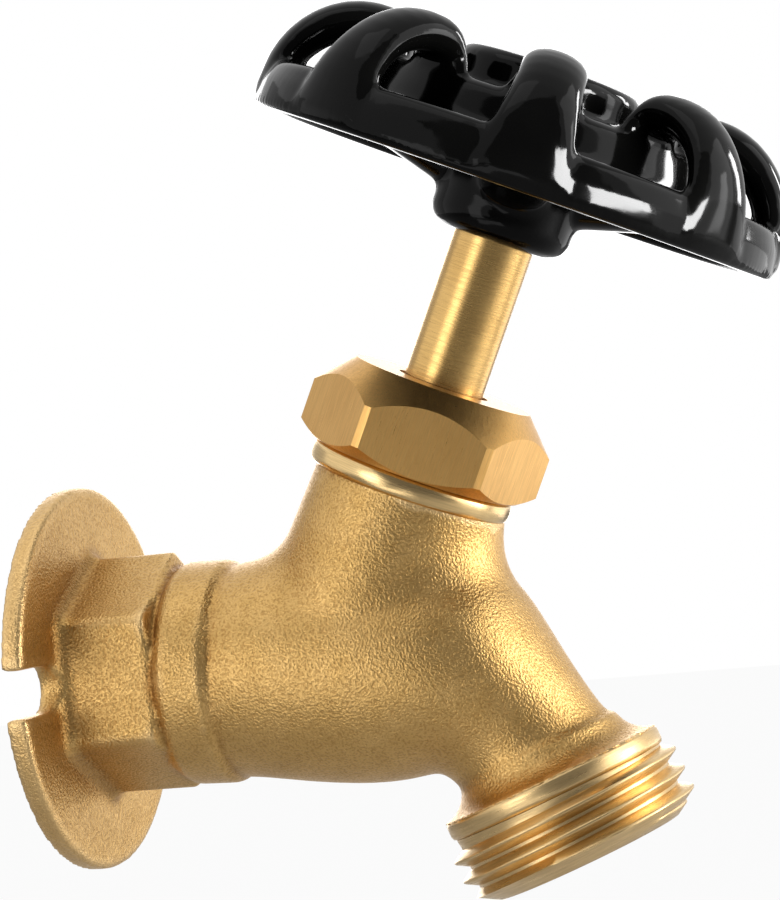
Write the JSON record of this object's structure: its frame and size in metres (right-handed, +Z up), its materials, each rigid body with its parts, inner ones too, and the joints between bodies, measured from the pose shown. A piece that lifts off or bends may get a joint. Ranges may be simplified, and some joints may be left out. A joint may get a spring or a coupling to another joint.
{
  "type": "sillcock",
  "caption": "Angled brass sillcock with a slotted wall flange, a wrench hexagon, a hose-threaded outlet, a packing nut and a lobed black handwheel on a rising stem.",
  "frame": {"origin": "centre of the inlet bore, in the plane of the flange's back face", "axes": "+X out of the wall along the inlet bore, +Z up, and the stem and outlet axes lie in the XZ plane"},
  "size_m": [0.0843, 0.059, 0.098],
  "materials": {
    "cast_brass": "sand-cast, finely blasted",
    "turned_brass": "turned, satin",
    "washer_rubber": "matt black rubber",
    "graphite_packing": "graphite-filled packing",
    "wheel_coating": "glossy black coating on a casting",
    "screw_steel": "zinc-plated"
  },
  "bodies": {
    "valve": {"valve_body": "cast_brass", "packing_nut": "turned_brass", "packing_washer": "turned_brass", "stem_packing": "graphite_packing"},
    "washer_carrier": {"seat_washer": "washer_rubber"},
    "spindle": {"stem": "turned_brass", "washer_screw": "turned_brass", "handwheel": "wheel_coating", "handle_screw": "screw_steel"}
  },
  "joints": [
    {"name": "stem_rise", "type": "slide", "parent": "valve", "child": "washer_carrier", "axis": [0.4352, 0, 0.9003], "range_m": [0, 0.00698]},
    {"name": "wheel_turn", "type": "hinge", "parent": "washer_carrier", "child": "spindle", "pos_m": [0.0319, 0, 0], "axis": [0.4352, 0, 0.9003], "range_deg": [0, 990]}
  ],
  "couplings": [
    {"joint": "wheel_turn", "follows": "stem_rise", "rad_per_m": 2473.7}
  ]
}
